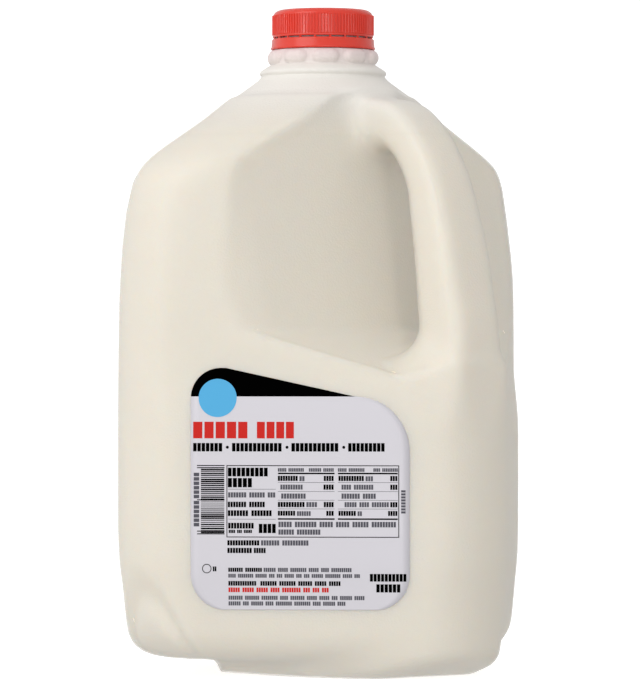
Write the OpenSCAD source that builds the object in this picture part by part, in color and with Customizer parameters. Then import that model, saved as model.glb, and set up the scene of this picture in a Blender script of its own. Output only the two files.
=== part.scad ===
// Gallon milk jug: a blow-moulded bottle with a hollow corner handle, the milk in it,
// a ribbed screw cap with its tamper band, and a paper-thin label on one flat side.
// Millimetres, standing on z = 0. +X points to the corner with the handle.

/* [Body] */
// Width across two flat sides
body_width = 148.4; // [120:0.1:179]
// Radius of the four upright corners
corner_radius = 31.5; // [22:0.5:40]
// Height at which the walls turn in to the shoulder
shoulder_height = 196.8; // [180:0.1:240]
// Height at which the shoulder ends and the neck starts
neck_bottom = 228; // [212:0.1:275]
// Wall thickness of the body and the handle
wall = 0.7; // [0.5:0.05:1.2]
// Height of the raised underside of the three corners without the handle
foot_height = 7.6; // [7:0.1:9]
// Distance from the axis to the edge of the part that stands on the ground
pad_reach = 38.5; // [32:0.5:46]
// How far the bottom edge rounds in
base_round = 15.8; // [10:0.1:19]

/* [Recess and handle] */
// Distance from the axis to the wall behind the handle
nose_distance = 41.2; // [34:0.1:46]
// Clear space between that wall and the handle
handle_gap = 20.3; // [17:0.1:25]
// Thickness of the handle from front to back at mid height
handle_depth = 25.2; // [20:0.1:31]
// Width of the handle along its corner
handle_width = 24.6; // [18:0.1:30]
// Height at which the recess starts to slope out to the corner
recess_bottom = 129; // [116:0.5:140]
// Distance from the axis to the flat floors beside the handle
floor_distance = 43; // [39:0.2:47]

/* [Neck and cap] */
// Radius of the collar on top of the shoulder
collar_radius = 24.3; // [23:0.1:26]
// Radius of the neck below the cap
neck_radius = 19.8; // [19.5:0.1:20.9]
// Number of oval bumps around the neck
neck_bumps = 10; // [6:1:14]
// Outer radius of the cap without its ribs
cap_radius = 19.2; // [19:0.1:20.4]
// Height of the cap above its tamper band
cap_height = 10.6; // [9.6:0.1:15]
// Number of fine upright ribs on the cap
cap_ribs = 100; // [60:1:120]
// Number of small bridges that hold the tamper band
band_bridges = 20; // [8:1:28]

/* [Milk] */
// Height of the milk in the bottle
milk_level = 220.2; // [200:0.1:224]

/* [Label] */
// Left and right edge, measured from the middle of its side
label_left = -42.6; // [-42.6:0.1:-30]
label_right = 37.8; // [25:0.1:42]
// Bottom and top edge
label_bottom = 26.4; // [24:0.1:45]
label_top = 116.2; // [100:0.1:120]
// Thickness of the label
label_thickness = 0.16; // [0.1:0.02:0.4]

/* [Hidden] */
half = body_width / 2;
flat_half = half - corner_radius;
apex = flat_half * sqrt(2) + corner_radius;
ledge_z = neck_bottom - 8;
ledge_r = 34.6;
sh = shoulder_height;
bore = neck_radius - 3.9;
finish_r = neck_radius - 2.3;
band_z = neck_bottom + 10.4;
band_h = 4.1;
split_gap = 0.6;
cap_z = band_z + band_h + split_gap;
cap_top = cap_z + cap_height;
cap_wall = 1.3;
rim_z = cap_top - 1.5;
handle_x = nose_distance + handle_gap + handle_depth / 2;

// how far a flat side is set in from its widest place, at each height
inset_table = [
  [0, base_round + 1.5], [0.7, base_round - 2.5], [2.6, base_round - 6.6], [5.6, base_round - 9.4],
  [foot_height - 0.5, base_round - 10.5], [foot_height + 0.5, base_round - 11],
  [foot_height + 1.4, base_round - 11.4], [15, 3.7], [34, 1.8], [43, 0.6], [55, 0],
  for (f = [0.1, 0.28, 0.46, 0.64, 0.82, 1]) [recess_bottom - 26 + 26 * f, 0.2 * f], [143, 0.5],
  [sh - 36, 1.4], [sh - 22, 2.8], [sh - 10, 5.2], [sh - 4, 8.4], [sh, 12], [sh + 4, 16.6],
  [(sh + ledge_z) / 2 + 2, 16.6 + (half - ledge_r - 16.6) * 0.48],
  [ledge_z - 0.5, half - ledge_r], [ledge_z + 0.6, half - ledge_r + 1.6],
  [neck_bottom, half - collar_radius + 0.2]];
ring_z = [for (row = inset_table) row[0]];

// azimuths of the corners of every ring
corner_steps = [0, 7.6, 15.2];
half_angles = concat(
  corner_steps, [23, 30, 38, 48, 58, 67, 71.5],
  [for (i = [2, 1]) 90 - corner_steps[i]], [for (s = corner_steps) 90 + s], [135],
  [for (i = [2, 1]) 180 - corner_steps[i]]);
ring_angles = concat(half_angles, [180], [for (i = [len(half_angles) - 1 : -1 : 1]) -half_angles[i]]);

function side(z) = half - lookup(z, inset_table);
function round_of(z) = z < 60 ? side(z) - flat_half : min(side(z), corner_radius);
function fold(t) = abs(((t % 90) + 90) % 90 - 45);

// radius of a square of half width h with corners rounded to r
function square_r(w, h, r) =
  let (c = h - r, b = c * (cos(w) + sin(w)))
  h * tan(w) <= c ? h / cos(w) : b + sqrt(max(0, b * b - 2 * c * c + r * r));

// radius at which the recess cuts, for azimuth t from the handle corner
function plane_r(t, n, d) = cos(t - n) > 0.12 ? d / cos(t - n) : 1000;
function out_by(z) = max(0, (recess_bottom - z) / 0.55);
function recess_r(t, z) = min(
  plane_r(t, 10.8, floor_distance - 0.129 * (z - 150) + out_by(z)),
  plane_r(t, 5, nose_distance - 0.16 * (z - 150) + out_by(z)),
  plane_r(t, 29.5, half - 13 + 0.02 * (z - 160) + out_by(z)));

// the three corners without the handle are chamfered, and their underside is raised
function foot_r(t, z) = min(
  min([for (n = [90, 180]) plane_r(t, n, apex - 10 + 0.26 * z)]),
  z > foot_height ? 1000 : min([for (n = [90, 135, 180]) plane_r(t, n, pad_reach + 0.3 * z)]));

// the underside also rises a little towards the handle corner
function heel_r(t, z) = plane_r(t, 0, apex - 41 + 5 * z);

// the two sides beside the handle lean in above the label
lean_table = [
  [88, 0], [96, 0.4], [112, 2.2], [120, 2.6], [150, 2.6], [sh - 10, 6.9], [sh + 20, 6.9]];
function lean(z) = lookup(z, lean_table);
function lean_r(t, z) = plane_r(t, 45, half - lean(z));

function body_r(t, z, inset) = min(
  square_r(fold(t), side(z) - inset, max(round_of(z) - inset, 1)),
  recess_r(abs(t), z) - inset, foot_r(abs(t), z) - inset, heel_r(abs(t), z) - inset,
  lean_r(abs(t), z) - inset);

// the same wall set in by its thickness, taken level and along the slopes
function wall_r(t, z, inset) = inset == 0 ? body_r(t, z, 0) :
  min([for (dz = [-inset, 0, inset]) body_r(t, max(z + dz, 0), inset)]);

// A solid with one ring of points per height
module loft(inset, floor_z) {
  zs = concat([floor_z], [for (z = ring_z) if (z > floor_z + 0.3) z]);
  n = len(ring_angles);
  m = len(zs);
  points = concat(
    [for (z = zs) for (t = ring_angles) let (r = wall_r(t, z, inset))
      [r * cos(t), r * sin(t), z]],
    [[0, 0, zs[0]], [0, 0, zs[m - 1]]]);
  faces = concat(
    [for (k = [0 : m - 2]) for (i = [0 : n - 1])
      [k * n + i, (k + 1) * n + i, (k + 1) * n + (i + 1) % n]],
    [for (k = [0 : m - 2]) for (i = [0 : n - 1])
      [k * n + i, (k + 1) * n + (i + 1) % n, k * n + (i + 1) % n]],
    [for (i = [0 : n - 1]) [n * m, i, (i + 1) % n]],
    [for (i = [0 : n - 1]) [n * m + 1, (m - 1) * n + (i + 1) % n, (m - 1) * n + i]]);
  polyhedron(points, faces, convexity = 6);
}

// handle: [x, z, turn of the slice, half depth, half width]
hd = handle_depth / 2;
hw = handle_width / 2;
handle_path = [
  [nose_distance - 18, sh + 13.5, 76, hd - 3.2, hw - 3],
  [handle_x - 31, sh + 11, 74, hd - 3, hw - 2],
  [handle_x - 22.5, sh + 7, 58, hd - 3.4, hw - 1.6],
  [handle_x - 15, sh - 0.5, 38, hd - 3.4, hw - 1.4],
  [handle_x - 9, sh - 11, 20, hd - 2.8, hw - 1.2],
  [handle_x - 6, sh - 21, 15, hd - 1.6, hw - 0.8],
  [handle_x - 2, sh - 38, 9, hd - 0.5, hw],
  [handle_x, sh - 55, 4, hd, hw],
  [handle_x + 0.8, recess_bottom + 3, 0, hd + 0.2, hw],
  [handle_x + 0.4, recess_bottom - 8, -4, hd + 1.6, hw + 1],
  [handle_x - 2, recess_bottom - 24, -8, hd + 1, hw + 1]];

module slice(p, inset) {
  translate([p[0], 0, p[1]])
    rotate([0, -p[2], 0])
      scale([p[3] - inset, p[4] - inset, 1])
        cylinder(r = 1, h = 0.2, center = true, $fn = 14);
}

module handle(inset) {
  for (i = [0 : len(handle_path) - 2])
    hull() {
      slice(handle_path[i], inset);
      slice(handle_path[i + 1], inset);
    }
}

module neck_outer() {
  rotate_extrude($fn = 32)
    polygon([
      [0, neck_bottom - 3], [collar_radius - 0.6, neck_bottom - 1], [collar_radius - 0.4, neck_bottom + 0.2],
      [collar_radius, neck_bottom + 0.6], [collar_radius, neck_bottom + 1.9],
      [collar_radius - 0.5, neck_bottom + 2.4], [neck_radius + 0.5, neck_bottom + 4.4],
      [neck_radius, neck_bottom + 5.2], [neck_radius, band_z - 0.7], [finish_r, band_z - 0.1],
      [finish_r, rim_z - 0.8], [finish_r - 0.6, rim_z], [0, rim_z]]);
}

module neck_bump() {
  hull()
    for (s = [-1, 1])
      rotate([0, 0, s * 8.5])
        translate([neck_radius, 0, neck_bottom + 7.4])
          rotate([0, 90, 0])
            cylinder(r1 = 2.7, r2 = 1.9, h = 1.9, $fn = 6);
}

module neck_bore(from_z) {
  translate([0, 0, from_z])
    cylinder(r = bore, h = rim_z - from_z + 1, $fn = 32);
}

module inside() {
  loft(wall, wall);
  handle(wall);
}

module bottle() {
  color("#ece6da")
    difference() {
      union() {
        loft(0, 0);
        handle(0);
        neck_outer();
        for (i = [0 : neck_bumps - 1])
          rotate([0, 0, (i + 0.5) * 360 / neck_bumps])
            neck_bump();
      }
      intersection() {
        inside();
        translate([0, 0, neck_bottom / 2 - 1])
          cube([4 * half, 4 * half, neck_bottom], center = true);
      }
      neck_bore(neck_bottom - 6);
    }
}

module milk() {
  color("#f4efe3")
    intersection() {
      inside();
      translate([-2 * half, -2 * half, 0])
        cube([4 * half, 4 * half, milk_level]);
    }
}

// outline of the ribbed ring of the cap
function rib_points(r, depth) = [for (i = [0 : cap_ribs - 1]) for (p = [[0, 0], [0.22, 1], [0.6, 1], [0.82, 0]])
  let (t = (i + p[0]) * 360 / cap_ribs, q = r + p[1] * depth) [q * cos(t), q * sin(t)]];

module cap() {
  color("#e03c2c") {
    rotate_extrude($fn = 120)
      polygon([
        [0, cap_top], [cap_radius - 3, cap_top], [cap_radius - 1.6, cap_top - 0.45],
        [cap_radius - 0.5, cap_top - 1.4], [cap_radius, cap_top - 2.8], [cap_radius, cap_z + 0.3],
        [cap_radius - 0.3, cap_z], [cap_radius - cap_wall, cap_z], [cap_radius - cap_wall, rim_z],
        [0, rim_z]]);
    translate([0, 0, cap_z + 1])
      linear_extrude(height = cap_height - 3.6)
        difference() {
          polygon(rib_points(cap_radius - 0.1, 0.4));
          circle(r = cap_radius - 0.6, $fn = 120);
        }
    rotate_extrude($fn = 120)
      polygon([
        [cap_radius - cap_wall, band_z], [cap_radius + 0.9, band_z], [cap_radius + 0.9, band_z + 0.8],
        [cap_radius + 0.55, band_z + band_h - 0.3], [cap_radius + 0.2, band_z + band_h],
        [cap_radius - cap_wall, band_z + band_h]]);
    for (i = [0 : band_bridges - 1])
      rotate([0, 0, i * 360 / band_bridges])
        translate([cap_radius - 1, -0.5, band_z + band_h - 0.2])
          cube([0.8, 1, split_gap + 0.5]);
  }
}

// outline of the label: a slanted top edge and three rounded corners
label_low = 13;
label_corner = 11;
label_drop = 10.6;
slant_end = label_right - 0.25 * (label_right - label_left);
slant_run = (slant_end - label_left - label_corner - 2) / label_drop;

function arc_in(d, r) = d >= r ? 0 : r - sqrt(r * r - (r - d) * (r - d));
function label_left_at(z) = label_left + arc_in(z - label_bottom, label_low)
  + arc_in(label_top - z, label_corner);
function label_right_at(z) = min(
  label_right - arc_in(z - label_bottom, label_low)
    - arc_in(max(label_top - label_drop - z, 0), label_right - slant_end),
  z > label_top - label_drop ? slant_end - (z - label_top + label_drop) * slant_run : label_right);

// heights of the label's rows: those of the wall's rings, and those that its corners need
function sorted(list) = len(list) < 2 ? list : let (m = list[floor(len(list) / 2)]) concat(
  sorted([for (v = list) if (v < m) v]), [m], sorted([for (v = list) if (v > m) v]));
label_heights = sorted(concat(
  [for (z = ring_z) if (z > label_bottom && z < label_top) z],
  [for (f = [0, 0.06, 0.2, 0.45, 1]) label_bottom + f * label_low],
  [for (f = [0, 0.05, 0.2, 0.45, 1, 1.1, 1.4, 1.8]) label_top - f * label_drop]));
function wall_at(z) = lookup(z, [for (ring = ring_z) [ring, min(side(ring), half - lean(ring))]]);

module label() {
  color("#cfcdd3")
    rotate([0, 0, -45]) {
      rows = [for (z = label_heights) [z, label_left_at(z), label_right_at(z)]];
      m = len(rows);
      points = [for (row = rows) for (lift = [0, label_thickness])
        for (t = [row[1], row[2]]) [wall_at(row[0]) + lift, t, row[0]]];
      faces = concat(
        [[0, 1, 3, 2], [4 * m - 4, 4 * m - 2, 4 * m - 1, 4 * m - 3]],
        [for (k = [0 : m - 2]) let (b = 4 * k) each [
          [b + 0, b + 4, b + 5, b + 1], [b + 2, b + 3, b + 7, b + 6],
          [b + 0, b + 2, b + 6, b + 4], [b + 1, b + 5, b + 7, b + 3]]]);
      polyhedron(points, faces, convexity = 4);
    }
}

bottle();
milk();
cap();
label();
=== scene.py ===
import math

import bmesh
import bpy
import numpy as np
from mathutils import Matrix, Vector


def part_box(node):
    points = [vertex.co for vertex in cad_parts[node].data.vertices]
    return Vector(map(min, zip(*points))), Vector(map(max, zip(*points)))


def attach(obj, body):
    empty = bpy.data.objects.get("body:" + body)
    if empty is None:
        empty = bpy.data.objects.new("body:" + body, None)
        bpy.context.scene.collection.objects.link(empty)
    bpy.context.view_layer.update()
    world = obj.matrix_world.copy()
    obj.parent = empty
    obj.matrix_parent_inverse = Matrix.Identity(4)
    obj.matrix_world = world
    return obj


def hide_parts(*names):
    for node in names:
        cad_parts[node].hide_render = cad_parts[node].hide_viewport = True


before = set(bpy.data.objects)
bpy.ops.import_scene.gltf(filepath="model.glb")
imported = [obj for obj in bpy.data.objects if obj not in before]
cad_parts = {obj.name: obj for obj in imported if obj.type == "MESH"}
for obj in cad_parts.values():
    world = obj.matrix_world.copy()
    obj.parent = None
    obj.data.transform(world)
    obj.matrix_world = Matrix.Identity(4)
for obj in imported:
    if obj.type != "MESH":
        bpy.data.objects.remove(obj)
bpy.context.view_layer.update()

# %% [markdown]
# # A gallon milk jug
# The jug is blow-moulded from natural polyethylene, with its handle hollow and in one piece with the body.
# The milk inside gives it its creamy white. A screw cap with a tamper band closes it, and one flat side
# carries a thin printed label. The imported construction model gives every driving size, so that what is made
# here fits it exactly. Shape functions work in millimetres, and meshes are made in metres.

MM = 0.001


def box_mm(node):
    """The lowest and highest corner of a node of the construction model, in millimetres."""
    low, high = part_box(node)
    return np.array(low) / MM, np.array(high) / MM


cap_low, cap_high = box_mm("cap")
label_low, label_high = box_mm("label")

apex = box_mm("bottle")[1][0]                     # from the axis to the outside of a corner
corner_radius = 31.5
flat_half = (apex - corner_radius) / math.sqrt(2)
half = flat_half + corner_radius          # from the axis to a flat side
wall = 0.7
neck_bottom = cap_low[2] - 10.4           # where the shoulder meets the neck
shoulder = neck_bottom - 31.2             # where the walls turn in
ledge = neck_bottom - 8                   # the small step on the shoulder
recess_bottom = 129
milk_level = box_mm("milk")[1][2]
print("flat side at", round(half, 2), "mm, neck at", round(neck_bottom, 2), "mm")
print("milk to", round(milk_level, 2), "mm")

# %% [markdown]
# ## The form of the bottle
# A blown bottle has no sharp edges: each flat and each bend flows into the next. Such a form could be
# modelled with subdivision surfaces, but its recess, chamfers and handle root meet in places where a cage
# would pinch. So the form is written as a field: a function that says how far a point lies outside the
# surface. Fields join and cut each other with a soft radius, just as hot plastic does, and a mesh is then
# drawn where the field is zero.

# %% Soft joins between fields
def soft_max(a, b, radius):
    """The larger of two fields, rounded where they cross: it cuts b's outside away from a."""
    blend = np.maximum(radius - np.abs(a - b), 0) / radius
    return np.maximum(a, b) + blend * blend * radius / 4


def soft_min(a, b, radius):
    """The smaller of two fields, filled where they cross: it joins two bodies."""
    return -soft_max(-a, -b, radius)


def soft_ramp(x, radius):
    """0 below 0 and x above it, with a rounded bend."""
    return (x + np.sqrt(x * x + radius * radius)) / 2


# %% The side profile
# Each pair: height, and how far the wall is set in from its widest place.
profile = np.array([
    [-6, 16.3], [0, 16.3], [0.7, 13.3], [2.6, 9.2], [5.6, 6.4], [9.6, 4.5], [15, 3.7], [34, 1.8],
    [43, 0.6], [55, 0],
    [102, 0], [129, 0.25], [143, 0.5], [shoulder - 36, 1.4], [shoulder - 22, 2.8],
    [shoulder - 10, 5.2], [shoulder - 4, 8.4], [shoulder, 12.0], [shoulder + 4, 16.6],
    [ledge - 9.5, half - 45.4], [ledge, half - 35.0], [neck_bottom, half - 24.0], [neck_bottom + 8, half - 20]])
profile_z = np.arange(-6, neck_bottom + 8, 0.25)
profile_in = np.interp(profile_z, profile[:, 0], profile[:, 1])
kernel = np.exp(-0.5 * (np.arange(-16, 17) * 0.25 / 1.3) ** 2)
kernel /= kernel.sum()
profile_in = np.convolve(np.pad(profile_in, 16, mode="edge"), kernel, mode="valid")
profile_slope = np.gradient(profile_in, 0.25)
print("profile of", len(profile_z), "heights, widest half side", round(half - profile_in.min(), 2), "mm")


def body_field(x, y, z):
    """A square with rounded corners whose half width follows the profile."""
    side = half - np.interp(z, profile_z, profile_in)
    side = side - 0.55 * (1 + np.tanh((z - ledge) / 0.35))
    near_heel = np.clip(((x - np.abs(y)) * math.sqrt(0.5) - 5) / 30, 0, 1)
    side = side + 4.5 * near_heel ** 2 * (3 - 2 * near_heel) * np.exp(-np.clip(z, 0, 60) / 3)
    radius = np.where(z < 60, np.maximum(side - flat_half, 4), np.minimum(side, corner_radius))
    u = np.abs(x + y) * math.sqrt(0.5) - (side - radius)
    v = np.abs(x - y) * math.sqrt(0.5) - (side - radius)
    out = np.hypot(np.maximum(u, 0), np.maximum(v, 0)) + np.minimum(np.maximum(u, v), 0) - radius
    return out / np.sqrt(1 + np.interp(z, profile_z, profile_slope) ** 2)


# %% [markdown]
# ## Handle, recess and feet
# Fingers need room, so both sides of one corner are pressed in and the handle bridges the gap. The other
# three corners end in chamfered feet. Each could be cut and joined with booleans and bevels, but such joins
# are hard to keep soft where several meet. As fields, each join has its own soft radius.

# %% The recess beside and behind the handle
floor_distance = 43
nose_distance = 41.2


def turned(x, y, degrees):
    """Distance along a level direction that is turned by some degrees to either side of +X."""
    return x * math.cos(math.radians(degrees)) + np.abs(y) * math.sin(math.radians(degrees))


def recess_field(x, y, z):
    """Three flats on each side of the handle, which slope out to the corner at their foot."""
    foot = np.clip((x - 60) / 14, 0, 1) * np.clip((26 - np.abs(y)) / 14, 0, 1)
    run_out = soft_ramp((recess_bottom + 11 * foot - z) / 0.55, 4 + 5 * foot)
    lean = 1 / np.sqrt(1 + ((z < recess_bottom) / 0.55) ** 2 * 0.8)
    floor = turned(x, y, 10.8) - (floor_distance - 0.129 * (z - 150) + run_out)
    nose = turned(x, np.sqrt(y * y + 4), 5) - (nose_distance - 0.16 * (z - 150) + run_out)
    band = turned(x, y, 31) - (half - 14.4 - 0.075 * (z - 150) + run_out)
    return soft_max(soft_max(floor, nose, 3), band, 2.5) * lean


# %% The chamfered feet
pad_reach = 38.5                          # the part that stands on the ground ends here
foot_height = 6.3


def feet_field(x, y, z):
    """The chamfer near the ground on the three corners without the handle."""
    reach = np.maximum(np.maximum(np.abs(y), -x), (np.abs(y) - x) * math.sqrt(0.5))
    return (np.maximum(np.abs(y), -x) - (apex - 14.2 + 0.39 * z)) / 1.07, reach


def step_field(reach, z):
    """The raised underside of those corners, outside the standing pad."""
    return soft_min(foot_height + 0.02 * (reach - pad_reach) - z, (reach - pad_reach) * 0.6, 6)


# %% The two sides beside the handle lean in above the label
def front_field(x, y, z):
    rise = np.clip((z - 90) / 28, 0, 1)
    lean = 2.6 * rise * rise * (3 - 2 * rise) + 0.12 * soft_ramp(z - 152, 6)
    return turned(x, y, 45) - (half - lean + 0.05)


# %% The handle
handle_depth = 25.2
handle_width = 24.6
handle_x = nose_distance + 20.3 + handle_depth / 2
half_depth = handle_depth / 2
half_width = handle_width / 2
# Each station: place along X, height, half depth, half width.
stations = np.array([
    [nose_distance - 18, shoulder + 13.5, half_depth - 3.2, half_width - 3],
    [handle_x - 31, shoulder + 11, half_depth - 3, half_width - 2],
    [handle_x - 22.5, shoulder + 7, half_depth - 3.4, half_width - 1.6],
    [handle_x - 15, shoulder - 0.5, half_depth - 3.4, half_width - 1.4],
    [handle_x - 9, shoulder - 11, half_depth - 2.8, half_width - 1.2],
    [handle_x - 6, shoulder - 21, half_depth - 1.6, half_width - 0.8],
    [handle_x - 2, shoulder - 38, half_depth - 0.5, half_width],
    [handle_x + 0.6, shoulder - 55, half_depth + 0.6, half_width],
    [handle_x + 2, recess_bottom + 3, half_depth + 1.4, half_width],
    [handle_x + 1.4, recess_bottom - 8, half_depth + 2.6, half_width + 0.6],
    [handle_x - 1, recess_bottom - 24, half_depth + 2, half_width + 0.6]])


def smooth_path(points, steps):
    """A curve through the points, with the same smoothness for every column."""
    ends = np.vstack([2 * points[0] - points[1], points, 2 * points[-1] - points[-2]])
    t = np.linspace(0, 1, steps, endpoint=False)[:, None]
    rows = []
    for k in range(1, len(ends) - 2):
        a, b, c, d = ends[k - 1:k + 3]
        rows.append(0.5 * (2 * b + (c - a) * t + (2 * a - 5 * b + 4 * c - d) * t ** 2
                           + (3 * b - a - 3 * c + d) * t ** 3))
    return np.vstack(rows + [points[-1:]])


handle_line = smooth_path(stations, 14)
heading = np.gradient(handle_line[:, :2], axis=0)
heading /= np.linalg.norm(heading, axis=1)[:, None]
print("handle line of", len(handle_line), "points")


def handle_field(x, y, z):
    """A bar swept along the handle line: round towards the fingers, squarer on the outside."""
    px, pz = np.broadcast_arrays(x, z)
    gap = (px[..., None] - handle_line[:, 0]) ** 2 + (pz[..., None] - handle_line[:, 1]) ** 2
    near = gap.argmin(axis=-1)
    across = np.sqrt(np.take_along_axis(gap, near[..., None], axis=-1)[..., 0])
    depth, width = handle_line[near, 2], handle_line[near, 3]
    off_x, off_z = handle_line[near, 0] - px, handle_line[near, 1] - pz
    outward = off_x * heading[near, 1] - off_z * heading[near, 0]
    square = np.clip(outward / depth * 2, 0, 1)
    power = 2.3 + 2.2 * square * square * (3 - 2 * square)
    out = ((across / depth) ** power + np.abs(y / width) ** power) ** (1 / power)
    return (out - 1) * np.minimum(depth, width)


# %% The whole bottle as one field
def bottle_field(x, y, z):
    """Less than 0 inside the outer surface of the bottle."""
    body = body_field(x, y, z)
    feet, reach = feet_field(x, y, z)
    groove = 2.2 * np.exp(-((body - feet) / 1.7) ** 2) * (z < 60)
    body = soft_max(body, feet, 3) + groove
    body = soft_max(body, step_field(reach, z), 12)
    body = soft_max(body, (0.3 * (x - 60) - z), 4)
    body = soft_max(body, front_field(x, y, z), 3)
    recess = recess_field(x, y, z)
    ridge = 0.6 * np.exp(-((body - recess + 1.6) / 1.4) ** 2) * (z > 60)
    body = soft_max(body, recess, 1.8) - ridge
    body = soft_min(body, handle_field(x, y, z), 9)
    body = np.maximum(body, x - apex + 0.02)
    return soft_max(body, -z, 1.2)


# %% [markdown]
# ## From a field to a mesh
# Marching cubes would give slivers. A surface net puts one vertex in each cell that the surface crosses and
# joins neighbours with quads, which shade evenly. Each vertex is then moved onto the exact surface along the
# field's slope. The same net drawn a wall's thickness further in gives the inside of the bottle and the milk.

# %% Surface net
CORNERS = [(i, j, k) for i in (0, 1) for j in (0, 1) for k in (0, 1)]
EDGES = [(a, b) for a in CORNERS for b in CORNERS if a < b and sum(np.subtract(b, a)) == 1]


def surface_net(field, xs, ys, zs):
    """Vertices and outward quads where a field is zero on a grid of planes."""
    axes = (xs, ys, zs)
    value = field(xs[:, None, None], ys[None, :, None], zs[None, None, :])
    inside = value < 0
    count = sum(inside[i:len(xs) - 1 + i, j:len(ys) - 1 + j, k:len(zs) - 1 + k].astype(np.int8)
                for i, j, k in CORNERS)
    cells = np.argwhere((count > 0) & (count < 8))
    number = np.full(count.shape, -1)
    number[tuple(cells.T)] = np.arange(len(cells))
    total = np.zeros((len(cells), 3))
    hits = np.zeros(len(cells))
    for a, b in EDGES:
        ia, ib = cells + a, cells + b
        va, vb = value[tuple(ia.T)], value[tuple(ib.T)]
        cross = (va < 0) != (vb < 0)
        t = np.where(cross, va / np.where(cross, va - vb, 1), 0)
        for axis in range(3):
            pa, pb = axes[axis][ia[:, axis]], axes[axis][ib[:, axis]]
            total[:, axis] += np.where(cross, pa + (pb - pa) * t, 0)
        hits += cross
    quads = []
    for axis in range(3):
        one, two = (axis + 1) % 3, (axis + 2) % 3
        step = np.eye(3, dtype=int)
        shape = np.array(inside.shape)
        shape[axis] -= 1
        here = np.argwhere(inside.take(range(inside.shape[axis] - 1), axis)
                           != inside.take(range(1, inside.shape[axis]), axis))
        here = here[(here[:, one] > 0) & (here[:, two] > 0)
                    & (here[:, one] < shape[one] - 1) & (here[:, two] < shape[two] - 1)]
        ring = [number[tuple((here - s).T)] for s in
                (step[one] + step[two], step[two], 0 * step[one], step[one])]
        ring = np.array(ring).T
        leaving = inside[tuple(here.T)]
        quads.append(np.where(leaving[:, None], ring, ring[:, ::-1]))
    return total / hits[:, None], np.vstack(quads)


def slope(field, p, h=0.05):
    """The gradient of a field at points."""
    steps = np.eye(3) * h
    return np.array([(field(*(p + s).T) - field(*(p - s).T)) / (2 * h) for s in steps]).T


def settle(field, p, level=0.0, rounds=3):
    """Moves points onto the surface where a field has the given level, in a few Newton steps."""
    for _ in range(rounds):
        g = slope(field, p)
        size = np.sqrt((g * g).sum(axis=1))
        p = p - g * ((field(*p.T) / np.maximum(size, 0.3) - level) / np.maximum(size, 0.3))[:, None]
    return p


# %% Making objects
def make_object(name, points_mm, faces, smooth=True):
    """A mesh object at the origin from points in millimetres."""
    mesh = bpy.data.meshes.new(name)
    mesh.from_pydata((np.asarray(points_mm) * MM).tolist(), [], [list(map(int, f)) for f in faces])
    mesh.validate()
    mesh.update()
    if smooth:
        mesh.shade_smooth()
    obj = bpy.data.objects.new(name, mesh)
    bpy.context.collection.objects.link(obj)
    return obj


def planes(low, high, step, fine=()):
    """Grid planes from low to high, with closer ones in each fine stretch (low, high, step)."""
    values = np.arange(low, high + step, step)
    for a, b, s in fine:
        values = np.concatenate([values[(values < a) | (values > b)], np.arange(a, b + s, s)])
    return np.unique(np.round(values, 4))


def cut_off(values):
    """Grid planes up to the level where the body gives way to the neck."""
    return np.append(values[values < cut - 0.1], cut)


cut = neck_bottom - 1.2
fine_xy = planes(-apex - 3, apex + 3, 1.85)
fine_z = cut_off(planes(-1.5, cut, 1.85, [(ledge - 3, cut, 0.6)]))
outer_points, outer_quads = surface_net(bottle_field, fine_xy, fine_xy, fine_z)
outer_points = settle(bottle_field, outer_points)
print("outer surface:", len(outer_points), "points,", len(outer_quads), "quads")


def inner_field(x, y, z):
    """Less than 0 inside the hollow of the bottle."""
    return bottle_field(x, y, z) + wall


coarse_xy = planes(-apex - 3, apex + 3, 3.3)
coarse_z = cut_off(planes(-1.5, cut, 3.3, [(ledge - 3, cut, 1.1)]))
inner_points, inner_quads = surface_net(inner_field, coarse_xy, coarse_xy, coarse_z)
inner_points = settle(bottle_field, inner_points, -wall)
print("inner surface:", len(inner_points), "points,", len(inner_quads), "quads")

# %% [markdown]
# ## The neck
# The neck is the one part of the bottle that is moulded to size, because the cap screws on it: a collar,
# a short cone, a plain band with oval grip bumps, and the finish under the cap. All of it is round, so it is
# turned: one outline goes up the outside, over the rim and down the bore. The bumps push the band's rings out,
# so they stay one skin with it. The ends of the outline are then stitched to the two nets.

# %% Turning an outline, and stitching rings
def turned_rings(outline, count):
    """Points and quads of an outline of (radius, height) turned about Z, outward when the outline goes up."""
    turn = np.arange(count) * 2 * math.pi / count
    r, z = np.asarray(outline, float).T
    points = np.stack([r[:, None] * np.cos(turn), r[:, None] * np.sin(turn), z[:, None] + 0 * turn], axis=-1)
    k = np.arange(len(r) - 1)[:, None] * count
    i = np.arange(count)[None, :]
    j = (i + 1) % count
    quads = np.stack([k + i, k + j, k + count + j, k + count + i], axis=-1)
    return points.reshape(-1, 3), quads.reshape(-1, 4)


def in_order(points, ring):
    """A ring of point numbers in the order of their angle about Z."""
    return ring[np.argsort(np.arctan2(points[ring, 1], points[ring, 0]))]


def level_rim(points, quads, z):
    """Finds the open edge of a net and makes it a level circle."""
    pairs = np.vstack([quads[:, [i, (i + 1) % 4]] for i in range(4)])
    keys, counts = np.unique(np.sort(pairs, axis=1), axis=0, return_counts=True)
    rim = np.unique(keys[counts == 1])
    radius = np.hypot(points[rim, 0], points[rim, 1])
    points[rim, :2] *= (radius.mean() / radius)[:, None]
    points[rim, 2] = z
    return rim


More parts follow.
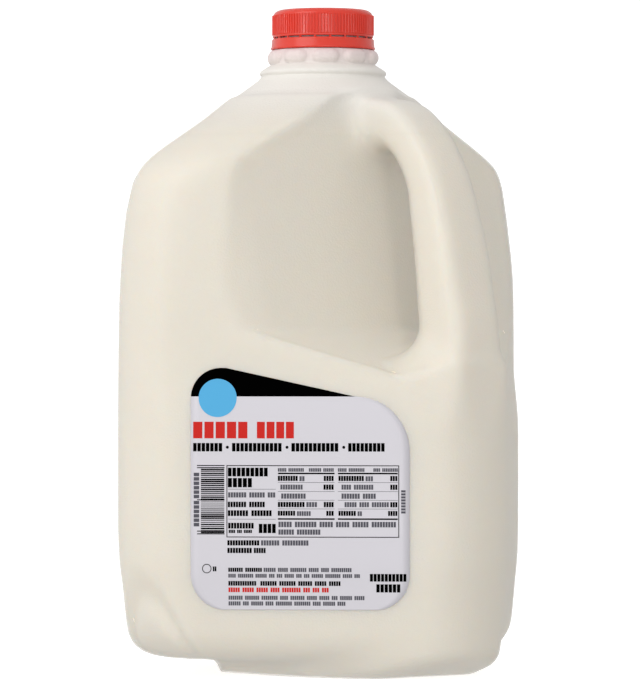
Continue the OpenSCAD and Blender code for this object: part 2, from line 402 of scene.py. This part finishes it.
def stitch(points, first, second):
    """Triangles between two rings of point numbers, each in order of angle."""
    def angles(ring):
        a = np.arctan2(points[ring, 1], points[ring, 0])
        return np.append(a, a[0] + 2 * math.pi)
    a, b = angles(first), angles(second)
    i = j = 0
    faces = []
    while i < len(first) or j < len(second):
        if j == len(second) or (i < len(first) and a[i + 1] <= b[j + 1]):
            faces.append((first[i], first[(i + 1) % len(first)], second[j % len(second)]))
            i += 1
        else:
            faces.append((first[i % len(first)], second[(j + 1) % len(second)], second[j]))
            j += 1
    return faces


# %% The bottle in one skin
collar_radius = 24.3
neck_radius = 19.8
finish_radius = 17.5
bore_radius = 15.9
neck_bumps = 10
bump_z = neck_bottom + 7.3
rim_z = cap_high[2] - 1.52

up_the_neck = [
    (-0.3, collar_radius - 0.3), (0.1, collar_radius - 0.6), (0.45, collar_radius - 0.4), (0.75, collar_radius),
    (1.6, collar_radius), (2.1, collar_radius - 0.3), (2.75, collar_radius - 1.2), (4.05, neck_radius + 1.2),
    (4.5, neck_radius + 0.4)] + [(h, neck_radius) for h in np.arange(4.85, 10, 0.3)] + [
    (10.2, neck_radius - 0.3), (10.3, finish_radius)]
over_the_rim = [(finish_radius, rim_z - 0.8), (finish_radius - 0.6, rim_z), (bore_radius, rim_z)]
down_the_bore = [(11.4, bore_radius), (9.6, 18.2), (4.9, 18.2), (1.9, 22.4), (0.2, 22.9)]
outline = ([(r, neck_bottom + h) for h, r in up_the_neck] + over_the_rim
           + [(r, neck_bottom + h) for h, r in down_the_bore])
neck_count = 200
neck_points, neck_quads = turned_rings(outline, neck_count)

pitch = 2 * math.pi / neck_bumps
angle = np.arctan2(neck_points[:, 1], neck_points[:, 0]) + math.radians(19.6)
from_bump = (np.mod(angle, pitch) - pitch / 2) * neck_radius
in_bump = np.hypot(np.maximum(np.abs(from_bump) - 2.2, 0) / 2.9, (neck_points[:, 2] - bump_z) / 2.7)
on_band = np.abs(np.hypot(neck_points[:, 0], neck_points[:, 1]) - neck_radius) < 0.01
bump_rise = 1.8 * np.clip(1 - in_bump ** 2, 0, 1) ** 0.6 * on_band
neck_points[:, :2] *= (1 + bump_rise / neck_radius)[:, None]

outer_rim = level_rim(outer_points, outer_quads, cut)
inner_rim = level_rim(inner_points, inner_quads, cut)
skin = np.vstack([outer_points, neck_points, inner_points])
neck_start = len(outer_points)
inner_start = neck_start + len(neck_points)
ring = np.arange(neck_count)
skin_faces = (
    outer_quads.tolist() + (neck_quads + neck_start).tolist() + (inner_quads[:, ::-1] + inner_start).tolist()
    + stitch(skin, in_order(skin, outer_rim), in_order(skin, ring + neck_start))
    + stitch(skin, in_order(skin, ring + inner_start - neck_count), in_order(skin, inner_rim + inner_start)))
bottle = make_object("bottle_skin", skin, skin_faces)
print("bottle:", len(skin), "points,", len(skin_faces), "faces")

# %% [markdown]
# ## The milk
# Milk stands in the bottle up to the ledge under the neck. Where a liquid fills a clear wall, the eye sees no
# air between them, so the milk's surface lies inside the thickness of the wall. Its top is level.

# %% The milk
def milk_field(x, y, z):
    """Less than 0 inside the milk."""
    return soft_max(inner_field(x, y, z) - 0.3, z - milk_level, 0.4)


milk_z = planes(-1.5, milk_level + 2, 3.3, [(ledge - 4, milk_level + 1, 0.8)])
milk_points, milk_quads = surface_net(milk_field, coarse_xy, coarse_xy, milk_z)
milk = make_object("milk_fill", settle(milk_field, milk_points), milk_quads)
print("milk:", len(milk_points), "points")

# %% [markdown]
# ## The cap
# A screw cap is injection moulded: a smooth rounded top, a wall with fine upright ribs for grip, and a
# tamper band that small bridges hold until the cap is first turned. The cap and the band are turned from
# their outlines, and the ribs and bridges are set round them by one Geometry Nodes tree.

# %% Cap and tamper band
cap_radius = 19.2
cap_inside = cap_radius - 1.3
cap_top = cap_high[2]
band_bottom = cap_low[2]
band_top = band_bottom + 4.1
cap_bottom = band_top + 0.6


def turn_object(name, outline, count, closed):
    """A turned object: a closed outline comes back to its start, an open one starts and ends on the axis."""
    points, quads = turned_rings(outline + outline[:1] if closed else outline, count)
    obj = make_object(name, points, quads)
    mesh = bmesh.new()
    mesh.from_mesh(obj.data)
    bmesh.ops.remove_doubles(mesh, verts=mesh.verts, dist=0.002 * MM)
    mesh.to_mesh(obj.data)
    mesh.free()
    return obj


round_top = [(cap_radius - 3.2 * (1 - math.cos(a)), cap_top - 3.2 * (1 - math.sin(a)) * 0.85)
             for a in np.linspace(0, math.pi / 2, 9)]
cap_shell = turn_object("cap_shell", [
    (0, rim_z + 0.02), (cap_inside, rim_z + 0.02), (cap_inside, cap_bottom), (cap_radius - 0.1, cap_bottom),
    (cap_radius + 0.15, cap_bottom + 0.15), (cap_radius + 0.15, cap_bottom + 0.75),
    (cap_radius, cap_bottom + 0.9), (cap_radius, cap_bottom + 1.1),
    *round_top, (0.62 * cap_radius, cap_top), (0, cap_top)], 160, False)
tamper_band = turn_object("tamper_band", [
    (cap_inside, band_bottom), (cap_radius + 0.6, band_bottom), (cap_radius + 0.85, band_bottom + 0.25),
    (cap_radius + 0.85, band_bottom + 0.75), (cap_radius + 0.6, band_bottom + 1),
    (cap_radius + 0.4, band_top - 0.3), (cap_radius + 0.1, band_top), (cap_inside, band_top)], 160, True)
print("cap from", round(cap_bottom, 2), "to", round(cap_top, 2), "mm, band from", round(band_bottom, 2), "mm")


# %% Materials: colour and node helpers
def colour(hex_code):
    """Linear RGBA of an sRGB hex colour."""
    parts = [int(hex_code[i:i + 2], 16) / 255 for i in (1, 3, 5)]
    return [p / 12.92 if p <= 0.04045 else ((p + 0.055) / 1.055) ** 2.4 for p in parts] + [1.0]


def node(tree, kind, inputs=(), **settings):
    """Adds a node with its settings, and fills its inputs with values or with other nodes' outputs."""
    made = tree.nodes.new(kind)
    for key, value in settings.items():
        setattr(made, key, value)
    for socket, value in dict(inputs).items():
        if isinstance(value, bpy.types.NodeSocket):
            tree.links.new(value, made.inputs[socket])
        else:
            made.inputs[socket].default_value = value
    return made


def material(name, base, roughness, **inputs):
    """A material with one Principled shader, and that shader."""
    made = bpy.data.materials.new(name)
    made.use_nodes = True
    shader = made.node_tree.nodes["Principled BSDF"]
    shader.inputs["Base Color"].default_value = colour(base)
    shader.inputs["Roughness"].default_value = roughness
    for key, value in inputs.items():
        shader.inputs[key.replace("_", " ")].default_value = value
    return made, shader


# %% [markdown]
# ## What each thing is made of
# Natural high-density polyethylene is waxy and cloudy: light goes in, scatters and comes out soft, and the
# gloss is satin. The blow mould is sandblasted so that air escapes, which leaves a fine pebble on the skin.
# The shoulder and neck are given less clear plastic, so that the milk's edge doesn't show as a hard line.
# Milk is an opaque white with a warm cast, because its fat scatters red a little further than blue. The cap
# is polypropylene with a strong pigment, and the label is coated film with flat ink.

# %% Plastic, milk, cap and label materials
plastic, shader = material("natural_polyethylene", "#f5f1ea", 0.42, IOR=1.5)
tree = plastic.node_tree
where = node(tree, "ShaderNodeTexCoord").outputs["Object"]
level = node(tree, "ShaderNodeSeparateXYZ", {0: where}).outputs["Z"]
cloud = node(tree, "ShaderNodeMapRange", {
    "Value": level, "From Min": (ledge - 16) * MM, "From Max": (ledge + 2) * MM,
    "To Min": 0.5, "To Max": 0.88})
# Painted light: the top of the neck is tinted pink, standing for the red cap's light scattered into the
# plastic.
painted_red_bounce = node(tree, "ShaderNodeMapRange", {
    "Value": level, "From Min": (neck_bottom + 3) * MM, "From Max": (neck_bottom + 10) * MM})
tint = node(tree, "ShaderNodeMix", {
    0: painted_red_bounce.outputs[0], 6: colour("#f5f1ea"), 7: colour("#efd9d8")}, data_type="RGBA")
tree.links.new(cloud.outputs[0], shader.inputs["Alpha"])
tree.links.new(tint.outputs[2], shader.inputs["Base Color"])
pebble = node(tree, "ShaderNodeTexNoise", {"Vector": where, "Scale": 1300.0, "Detail": 2.0})
waves = node(tree, "ShaderNodeTexNoise", {"Vector": where, "Scale": 60.0, "Detail": 1.0})
fine = node(tree, "ShaderNodeBump", {"Height": pebble.outputs["Fac"], "Strength": 1.0, "Distance": 0.0002})
soft = node(tree, "ShaderNodeBump", {
    "Height": waves.outputs["Fac"], "Strength": 0.25, "Distance": 0.0004, "Normal": fine.outputs["Normal"]})
tree.links.new(soft.outputs["Normal"], shader.inputs["Normal"])
bottle.data.materials.append(plastic)

cream, shader = material("whole_milk", "#f5eedf", 0.35, Subsurface_Weight=1.0, Subsurface_Scale=0.008)
shader.inputs["Subsurface Radius"].default_value = (1.0, 0.8, 0.6)
milk.data.materials.append(cream)

cap_red, shader = material("cap_polypropylene", "#e03a28", 0.24, IOR=1.49, Subsurface_Weight=0.15,
                           Subsurface_Scale=0.001)
tree = cap_red.node_tree
where = node(tree, "ShaderNodeTexCoord").outputs["Object"]
grain = node(tree, "ShaderNodeTexNoise", {"Vector": where, "Scale": 1200.0, "Detail": 1.0})
bump = node(tree, "ShaderNodeBump", {"Height": grain.outputs["Fac"], "Strength": 0.15, "Distance": 0.0001})
tree.links.new(bump.outputs["Normal"], shader.inputs["Normal"])

inks = {
    "paper": material("label_film", "#d4d1d7", 0.4)[0],
    "black": material("black_ink", "#020202", 0.6, Specular_IOR_Level=0.0)[0],
    "grey": material("grey_ink", "#55545c", 0.5, Specular_IOR_Level=0.2)[0],
    "red": material("red_ink", "#cc1f16", 0.5, Specular_IOR_Level=0.2)[0],
    "blue": material("blue_ink", "#55aede", 0.5, Specular_IOR_Level=0.2)[0],
}
for piece in (cap_shell, tamper_band):
    piece.data.materials.append(cap_red)


# %% Growing a mesh with a Geometry Nodes tree
def new_tree(name, values):
    """A tree with a geometry output and one named input for each (kind, value), and those inputs' outputs."""
    tree = bpy.data.node_groups.new(name, "GeometryNodeTree")
    tree.interface.new_socket("Geometry", in_out="OUTPUT", socket_type="NodeSocketGeometry")
    sockets = {key: tree.interface.new_socket(key, in_out="INPUT", socket_type=kind)
               for key, (kind, _) in values.items()}
    return tree, sockets, node(tree, "NodeGroupInput").outputs


def grow(name, tree, sockets, values):
    """The plain mesh that a tree gives for its inputs' values."""
    holder = bpy.data.objects.new(name + "_holder", bpy.data.meshes.new(name + "_start"))
    bpy.context.collection.objects.link(holder)
    modifier = holder.modifiers.new(name, "NODES")
    modifier.node_group = tree
    for key, (_, value) in values.items():
        modifier[sockets[key].identifier] = value
    graph = bpy.context.evaluated_depsgraph_get()
    mesh = bpy.data.meshes.new_from_object(holder.evaluated_get(graph), depsgraph=graph)
    bpy.data.objects.remove(holder)
    mesh.name = name
    return mesh


# %% A ring of equal pieces
def around(name, look, count, radius, height, sides, size, turn=0.0):
    """Equal upright prisms round the axis, as a plain mesh object. Sizes in millimetres."""
    values = {"Count": ("NodeSocketInt", count), "Radius": ("NodeSocketFloat", radius * MM),
              "Height": ("NodeSocketFloat", height * MM), "Sides": ("NodeSocketInt", sides),
              "Size": ("NodeSocketVector", [v * MM for v in size]), "Turn": ("NodeSocketFloat", turn)}
    tree, sockets, given = new_tree(name, values)
    circle = node(tree, "GeometryNodeMeshCircle", {"Vertices": given["Count"], "Radius": given["Radius"]})
    lift = node(tree, "ShaderNodeCombineXYZ", {"Z": given["Height"]})
    raised = node(tree, "GeometryNodeTransform", {"Geometry": circle.outputs["Mesh"],
                                                  "Translation": lift.outputs[0]})
    step = node(tree, "ShaderNodeMath", {0: 2 * math.pi, 1: given["Count"]}, operation="DIVIDE")
    angle = node(tree, "ShaderNodeMath", {
        0: node(tree, "GeometryNodeInputIndex").outputs[0], 1: step.outputs[0]}, operation="MULTIPLY")
    heading = node(tree, "ShaderNodeCombineXYZ", {"Z": angle.outputs[0]})
    rotation = node(tree, "FunctionNodeEulerToRotation", {0: heading.outputs[0]})
    prism = node(tree, "GeometryNodeMeshCylinder", {
        "Vertices": given["Sides"], "Radius": 0.5, "Depth": 1.0})
    spread = node(tree, "GeometryNodeInstanceOnPoints", {
        "Points": raised.outputs[0], "Instance": prism.outputs["Mesh"], "Rotation": rotation.outputs[0],
        "Scale": given["Size"]})
    turned_all = node(tree, "GeometryNodeTransform", {
        "Geometry": spread.outputs[0],
        "Rotation": node(tree, "FunctionNodeEulerToRotation", {
            0: node(tree, "ShaderNodeCombineXYZ", {"Z": given["Turn"]}).outputs[0]}).outputs[0]})
    real = node(tree, "GeometryNodeRealizeInstances", {0: turned_all.outputs[0]})
    painted = node(tree, "GeometryNodeSetMaterial", {"Geometry": real.outputs[0], "Material": look})
    node(tree, "NodeGroupOutput", {0: painted.outputs[0]})
    ring = bpy.data.objects.new(name, grow(name, tree, sockets, values))
    bpy.context.collection.objects.link(ring)
    print(name + ":", len(ring.data.polygons), "faces")
    return ring


rib_low, rib_high = cap_bottom + 1.0, cap_top - 2.2
cap_ribs = around("cap_ribs", cap_red, 100, cap_radius - 0.06, (rib_low + rib_high) / 2, 10,
                  (0.9, 0.6, rib_high - rib_low))
bridges = around("band_bridges", cap_red, 20, cap_radius - 0.5, band_top + 0.3, 8, (0.9, 1.0, 1.0), 0.07)

# %% [markdown]
# ## The label
# The label is a thin film, and it follows the wall: flat in the middle, leaning in above and below. So it is
# drawn flat, as (across, up, lift), and each point is then laid on the bottle's own field. Its print is laid
# the same way as thin ink. Words are shown as rows of small plain blocks.

# %% Laying flat pieces on the wall
across = np.array([math.sqrt(0.5), math.sqrt(0.5), 0])
facing = np.array([math.sqrt(0.5), -math.sqrt(0.5), 0])
label_left = -43.6
label_right = 37.8
label_corner = 11.0                       # radius of the upper left corner
label_low_corner = 13.0                   # radius of the two lower corners
label_drop = 10.6                         # how far the top edge slants down
label_bottom, label_top = label_low[2], label_high[2]
slant_end = label_right - 0.25 * (label_right - label_left)
slant_run = (slant_end - label_left - label_corner - 2) / label_drop
film = 0.16


def on_wall(flat):
    """Points of (across, up, lift) laid on the side with the label."""
    flat = np.asarray(flat, float)
    t, z, lift = flat.T
    out = np.full(len(flat), half)
    for _ in range(4):
        p = out[:, None] * facing + t[:, None] * across
        out = out - bottle_field(p[:, 0], p[:, 1], z)
    p = (out + lift)[:, None] * facing + t[:, None] * across
    return np.column_stack([p[:, 0], p[:, 1], z])


def arc_in(d, r):
    """How far a corner of radius r is set in at a distance d from its end."""
    return np.where(d >= r, 0, r - np.sqrt(np.maximum(r * r - (r - np.minimum(d, r)) ** 2, 0)))


def edges_at(z):
    """The label's left and right edge at heights z."""
    left = label_left + arc_in(z - label_bottom, label_low_corner) + arc_in(label_top - z, label_corner)
    shoulder_z = label_top - label_drop
    right = label_right - arc_in(z - label_bottom, label_low_corner) - arc_in(
        np.maximum(shoulder_z - z, 0), label_right - slant_end)
    return left, np.where(z > shoulder_z, slant_end - (z - shoulder_z) * slant_run, right)


def sheet(z, left, right, columns, low, high):
    """A thin closed sheet between a left and a right edge given at heights z: flat points and outward quads."""
    share = np.linspace(0, 1, columns)
    t = left[:, None] + (right - left)[:, None] * share
    up = np.repeat(z[:, None], columns, axis=1)
    count = len(z) * columns
    points = np.vstack([np.column_stack([t.ravel(), up.ravel(), np.full(count, lift)]) for lift in (high, low)])
    number = np.arange(count).reshape(len(z), columns)
    front = np.stack([number[:-1, :-1], number[:-1, 1:], number[1:, 1:], number[1:, :-1]], axis=-1)
    front = front.reshape(-1, 4)
    loop = np.concatenate([number[0, :-1], number[:-1, -1], number[-1, :0:-1], number[:0:-1, 0]])
    after = np.roll(loop, -1)
    sides = np.column_stack([loop + count, after + count, after, loop])
    return points, np.vstack([front, front[:, ::-1] + count, sides])


layout_left, layout_width = -0.5, 1.028   # where the print starts across the label, and how far it is stretched
layout_low, layout_height = 0.5, 1.01


def print_across(x):
    """Place along the wall of a place in the print's layout."""
    return label_left + layout_left + layout_width * x


def print_up(z):
    """Height on the wall of a height in the print's layout."""
    return label_bottom + layout_low + layout_height * z


class Print:
    """Thin flat pieces of one ink, gathered and then laid on the label together."""

    def __init__(self):
        self.points, self.quads, self.count = [], [], 0

    def add(self, points, quads):
        self.points.append(points)
        self.quads.append(quads + self.count)
        self.count += len(points)

    def bar(self, left, right, low, high, lift=film):
        rows = np.linspace(low, high, max(2, int((high - low) / 3) + 1))
        ends = np.ones(len(rows))
        self.add(*sheet(print_up(rows), print_across(left) * ends, print_across(right) * ends, 2,
                        lift - 0.02, lift + 0.03))

    def laid(self, name, look):
        obj = make_object(name, on_wall(np.vstack(self.points)), np.vstack(self.quads), smooth=False)
        obj.data.materials.append(look)
        print(name + ":", len(obj.data.polygons), "faces")
        return obj


# %% The label's film
corner_rise = 1 - np.cos(np.linspace(0, math.pi / 2, 14))
rows = np.unique(np.concatenate([
    label_bottom + label_low_corner * corner_rise, np.arange(label_bottom + 13, label_top - 12, 2.0),
    label_top - label_drop - 10 * corner_rise[:12], label_top - label_drop * corner_rise]).round(3))
rows = rows[(rows >= label_bottom) & (rows <= label_top)]
left, right = edges_at(rows)
paper = Print()
paper.add(*sheet(rows, left, right, 24, 0.0, film))
label = paper.laid("label_film", inks["paper"])
label.data.shade_smooth()

# %% Blocks of print
# Each row: ink, left and right end, middle height and height of the letters, in millimetres of the print's
# layout, which starts at the label's left and bottom edge.
words = [
    ("red", 1.4, 21.8, 65.6, 6.1),
    ("red", 24.5, 38.5, 65.6, 6.1),
    ("black", 1.4, 12.2, 59.3, 3.1),
    ("black", 15.5, 33.7, 59.3, 3.1),
    ("black", 37.0, 54.2, 59.3, 3.1),
    ("black", 57.5, 70.9, 59.3, 3.1),
    ("black", 14.0, 28.7, 50.2, 3.2),
    ("black", 14.0, 23.0, 46.3, 3.4),
    ("grey", 14.1, 31.3, 41.8, 1.9),
    ("black", 14.0, 27.5, 38.3, 2.0),
    ("black", 14.0, 30.0, 35.1, 2.1),
    ("black", 14.1, 23.5, 30.5, 2.1),
    ("black", 14.3, 22.8, 28.4, 1.2),
    ("black", 25.2, 31.6, 29.5, 3.4),
    ("grey", 32.1, 41.6, 51.0, 1.3),
    ("grey", 43.3, 52.4, 51.0, 1.3),
    ("grey", 53.8, 63.5, 51.0, 1.3),
    ("grey", 66.6, 75.5, 51.0, 1.3),
    ("black", 32.1, 39.4, 47.9, 1.9),
    ("grey", 39.9, 41.9, 47.8, 1.8),
    ("black", 48.7, 52.4, 47.9, 1.9),
    ("grey", 33.0, 41.2, 44.7, 1.8),
    ("black", 48.6, 52.4, 44.7, 1.9),
    ("grey", 33.3, 42.3, 41.4, 1.9),
    ("black", 32.1, 41.9, 38.3, 1.9),
    ("grey", 42.4, 46.4, 38.3, 1.8),
    ("black", 48.7, 52.4, 38.3, 1.9),
    ("black", 32.1, 38.5, 35.1, 1.8),
    ("grey", 39.0, 44.1, 35.0, 1.7),
    ("black", 49.6, 52.4, 35.1, 1.8),
    ("black", 54.0, 63.3, 47.9, 1.9),
    ("grey", 63.8, 66.6, 47.8, 1.8),
    ("black", 72.7, 75.4, 47.9, 1.9),
    ("grey", 55.1, 66.7, 44.7, 1.8),
    ("black", 72.7, 75.4, 44.7, 1.9),
    ("grey", 55.1, 67.6, 41.4, 1.9),
    ("grey", 56.2, 72.3, 38.3, 1.8),
    ("black", 72.7, 75.4, 38.3, 1.9),
    ("black", 54.0, 60.4, 35.1, 1.8),
    ("grey", 60.9, 62.6, 35.0, 1.7),
    ("black", 71.9, 75.4, 35.1, 1.8),
    ("grey", 32.3, 74.9, 31.0, 2.0),
    ("grey", 32.3, 47.6, 28.2, 1.9),
    ("black", 13.8, 25.5, 24.2, 1.9),
    ("grey", 26.0, 43.3, 24.2, 1.9),
    ("black", 13.8, 22.8, 21.4, 1.9),
    ("black", 23.4, 27.8, 21.4, 1.9),
    ("black", 14.1, 26.4, 14.3, 1.5),
    ("grey", 26.9, 58.8, 14.3, 1.5),
    ("grey", 14.1, 61.8, 12.1, 1.4),
    ("black", 14.1, 24.3, 9.3, 1.7),
    ("black", 25.7, 54.8, 9.3, 1.7),
    ("red", 14.1, 50.5, 6.9, 1.7),
    ("grey", 14.1, 63.4, 4.0, 1.5),
    ("grey", 14.1, 56.5, 1.9, 1.5),
    ("black", 65.3, 78.7, 11.5, 2.8),
    ("black", 67.6, 76.5, 7.6, 3.0),
    ("black", 8.5, 9.9, 14.6, 1.8),
]
draw = {name: Print() for name in ("black", "grey", "red", "blue")}
rng = np.random.default_rng(7)
for ink, start, end, middle, tall in words:
    count = max(2, round((end - start) / (tall * (0.62 if tall > 5 else 0.5))))
    pitch_x = (end - start) / count
    gaps = set()
    if count > 12:
        at = int(rng.integers(4, 8))
        while at < count - 3:
            gaps.add(at)
            at += int(rng.integers(4, 10))
    for k in range(count):
        if k not in gaps:
            low = middle - tall / 2
            draw[ink].bar(start + k * pitch_x, start + (k + 0.82) * pitch_x, low, low + tall)
print("word blocks:", {name: len(ink.points) for name, ink in draw.items()})

# %% Rules, fields and round marks
black, grey = draw["black"], draw["grey"]
table_left, table_right, table_low, table_high = 13.5, 75.9, 26.2, 52.7
rule = 0.3                                # thickness of the table's outline
for low, high in ((table_low, table_low + rule), (table_high - rule, table_high)):
    black.bar(table_left, table_right, low, high)
for left_end in (table_left, table_right - rule):
    black.bar(left_end, left_end + rule, table_low + rule, table_high - rule)
columns = [(32.1, 52.6), (53.8, 75.4)]
for start, end in columns:
    for height in (49.7, 33.0):
        black.bar(start, end, height - 0.28, height + 0.28)
    for height in (46.4, 43.1, 39.9, 36.7):
        grey.bar(start, end, height - 0.07, height + 0.07)
for height in (43.9, 32.9):
    grey.bar(14.1, 31.3, height - 0.07, height + 0.07)
for k in range(8):
    grey.bar(76.6, 78.2, 35.1 + 1.1 * k, 35.9 + 1.1 * k)
for k in range(12):
    grey.bar(1.6, 3.6, 30.2 + 1.62 * k + 0.6 * (k > 5), 31.5 + 1.62 * k + 0.6 * (k > 5))


def disc(centre_x, centre_z, radius, lift):
    """A round field."""
    turn = np.linspace(0.04, math.pi - 0.04, 28)
    rows = print_up(centre_z) - radius * np.cos(turn)
    reach = radius * np.sin(turn)
    middle = print_across(centre_x)
    return sheet(rows, middle - reach, middle + reach, 8, lift - 0.02, lift + 0.03)


def hoop(centre_x, centre_z, radius, thick):
    """A thin round outline, as closed quads."""
    turn = np.arange(28) * 2 * math.pi / 28
    rings = [(radius, film + 0.03), (radius - thick, film + 0.03), (radius - thick, film - 0.02),
             (radius, film - 0.02)]
    points = np.vstack([np.column_stack([print_across(centre_x) + r * np.cos(turn),
                                         print_up(centre_z) + r * np.sin(turn),
                                         np.full(28, lift)]) for r, lift in rings])
    i = np.arange(28)
    j = (i + 1) % 28
    quads = [np.column_stack([28 * k + i, 28 * k + j, 28 * ((k + 1) % 4) + j, 28 * ((k + 1) % 4) + i])
             for k in range(4)]
    return points, np.vstack(quads)


black.add(*hoop(6.3, 14.7, 1.75, 0.3))
for at in (13.8, 35.4, 55.9):
    black.add(*disc(at, 59.3, 0.55, film))
field_rows = np.unique(np.concatenate([
    np.linspace(label_top - label_drop, label_top - 4, 8),
    label_top - label_drop * corner_rise * 0.999]).round(3))
field_rows = field_rows[field_rows >= label_top - label_drop]
left, right = edges_at(field_rows)
black.add(*sheet(field_rows, left, right, 24, film - 0.02, film + 0.03))
draw["blue"].add(*disc(10.2, 77.4, 7.1, film + 0.05))

# %% A run of stripes
def stripes(left_end, right_end, low, high, count, seed):
    """Stripes of uneven thickness one above the other, as flat points and quads."""
    values = {"Count": ("NodeSocketInt", count), "Pitch": ("NodeSocketFloat", (high - low) / count),
              "Width": ("NodeSocketFloat", right_end - left_end), "Seed": ("NodeSocketInt", seed)}
    tree, sockets, given = new_tree("stripes", values)
    step = node(tree, "ShaderNodeCombineXYZ", {"Y": given["Pitch"]})
    line = node(tree, "GeometryNodeMeshLine", {"Count": given["Count"], "Offset": step.outputs[0]})
    share = node(tree, "FunctionNodeRandomValue", {"Min": 0.25, "Max": 0.95, "Seed": given["Seed"]})
    thick = node(tree, "ShaderNodeMath", {0: share.outputs["Value"], 1: given["Pitch"]}, operation="MULTIPLY")
    size = node(tree, "ShaderNodeCombineXYZ", {"X": given["Width"], "Y": thick.outputs[0], "Z": 0.05})
    cube = node(tree, "GeometryNodeMeshCube")
    spread = node(tree, "GeometryNodeInstanceOnPoints", {
        "Points": line.outputs[0], "Instance": cube.outputs[0], "Scale": size.outputs[0]})
    real = node(tree, "GeometryNodeRealizeInstances", {0: spread.outputs[0]})
    painted = node(tree, "GeometryNodeSetMaterial", {"Geometry": real.outputs[0], "Material": inks["black"]})
    node(tree, "NodeGroupOutput", {0: painted.outputs[0]})
    mesh = grow("stripes", tree, sockets, values)
    points = np.array([v.co for v in mesh.vertices], float)
    quads = np.array([list(p.vertices) for p in mesh.polygons])
    bpy.data.meshes.remove(mesh)
    points += (print_across((left_end + right_end) / 2), print_up(low), film + 0.005)
    return points, quads


black.add(*stripes(4.1, 12.8, 28.0, 52.7, 34, 4))
for low in (27.3, 28.3, 39.8, 51.6, 52.4):
    black.bar(2.8, 12.8, low, low + 0.35)
ink_pieces = [draw[name].laid("print_" + name, inks[name]) for name in draw]

# %% Every piece rides on the jug
for piece, nodes, slot_name in (
        (bottle, ["bottle"], "bottle_plastic"), (milk, ["milk"], "milk_liquid"),
        (cap_shell, ["cap"], "cap_plastic"), (tamper_band, [], "cap_plastic"), (cap_ribs, [], "cap_plastic"),
        (bridges, [], "cap_plastic"), (label, ["label"], "label_paper"),
        *((piece, [], "label_paper") for piece in ink_pieces)):
    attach(piece, "root")
    if nodes:
        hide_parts(*nodes)

# %% [markdown]
# ## Studio
# The jug stands on a pale round floor that curves up into a wall far behind. A large soft light from the upper
# left gives the form its slow shading, a broad one beside the camera lifts the label, and a narrow one on the
# left gives the cap its streak. A white surround, brighter at the upper left, fills the rest.

# %% Camera
scene = bpy.context.scene
scene.view_settings.view_transform = "Standard"
camera_data = bpy.data.cameras.new("camera")
camera_data.lens = 271
camera_data.sensor_width = 36
camera_data.shift_y = 27 / 691
camera_data.shift_x = -3 / 691
camera_data.clip_end = 50
camera = bpy.data.objects.new("camera", camera_data)
camera_turn = math.radians(49.4)
camera.location = (math.sin(camera_turn) * 2.0, -math.cos(camera_turn) * 2.0, 0.1145)
camera.rotation_euler = (math.pi / 2, 0, camera_turn)
scene.collection.objects.link(camera)
scene.camera = camera

# %% Lights and surround
world = bpy.data.worlds.new("surround")
scene.world = world
world.use_nodes = True
tree = world.node_tree
direction = node(tree, "ShaderNodeTexCoord").outputs["Generated"]
bright_side = (-0.6, -0.7, 0.38)        # up and to the camera's left
toward = node(tree, "ShaderNodeVectorMath", {0: direction, 1: bright_side}, operation="DOT_PRODUCT")
strength = node(tree, "ShaderNodeMath", {
    0: toward.outputs["Value"], 1: 0.14, 2: 0.75}, operation="MULTIPLY_ADD")
tree.links.new(strength.outputs[0], tree.nodes["Background"].inputs["Strength"])
tree.nodes["Background"].inputs["Color"].default_value = (1, 1, 1, 1)


def soft_light(name, turn, rise, distance, size, power):
    """A square soft light that faces the jug, placed by its turn from the camera and its rise in degrees."""
    data = bpy.data.lights.new(name, "AREA")
    data.size = size
    data.energy = power
    light = bpy.data.objects.new(name, data)
    a, e = camera_turn + math.radians(turn), math.radians(rise)
    light.location = (math.sin(a) * math.cos(e) * distance, -math.cos(a) * math.cos(e) * distance,
                      math.sin(e) * distance + 0.12)
    light.rotation_euler = (math.pi / 2 - e, 0, a)
    scene.collection.objects.link(light)


soft_light("key", -50, 42, 1.6, 1.0, 5.5)
soft_light("front", 8, 2, 2.3, 1.2, 10)
soft_light("strip", -44, 10, 1.6, 0.14, 1.6)

# %% Floor and backdrop
# The floor's outline in metres, as (radius, height): flat, then a bend, then a wall that leans in.
bend = [(7 + math.sin(a), 1 - math.cos(a)) for a in np.linspace(0, math.pi / 2, 7)]
floor_outline = [(0.001, 0), (1.2, 0)] + bend + [(8, 5), (5, 8)]
floor_points, floor_quads = turned_rings(np.array(floor_outline) / MM, 96)
floor = make_object("studio_floor", floor_points, floor_quads[:, ::-1])
pale, shader = material("pale_paper", "#fbfbfb", 0.9, Specular_IOR_Level=0.1, Emission_Strength=0.55)
shader.inputs["Emission Color"].default_value = (1, 1, 1, 1)
floor.data.materials.append(pale)
floor.visible_diffuse = floor.visible_glossy = floor.visible_transmission = False
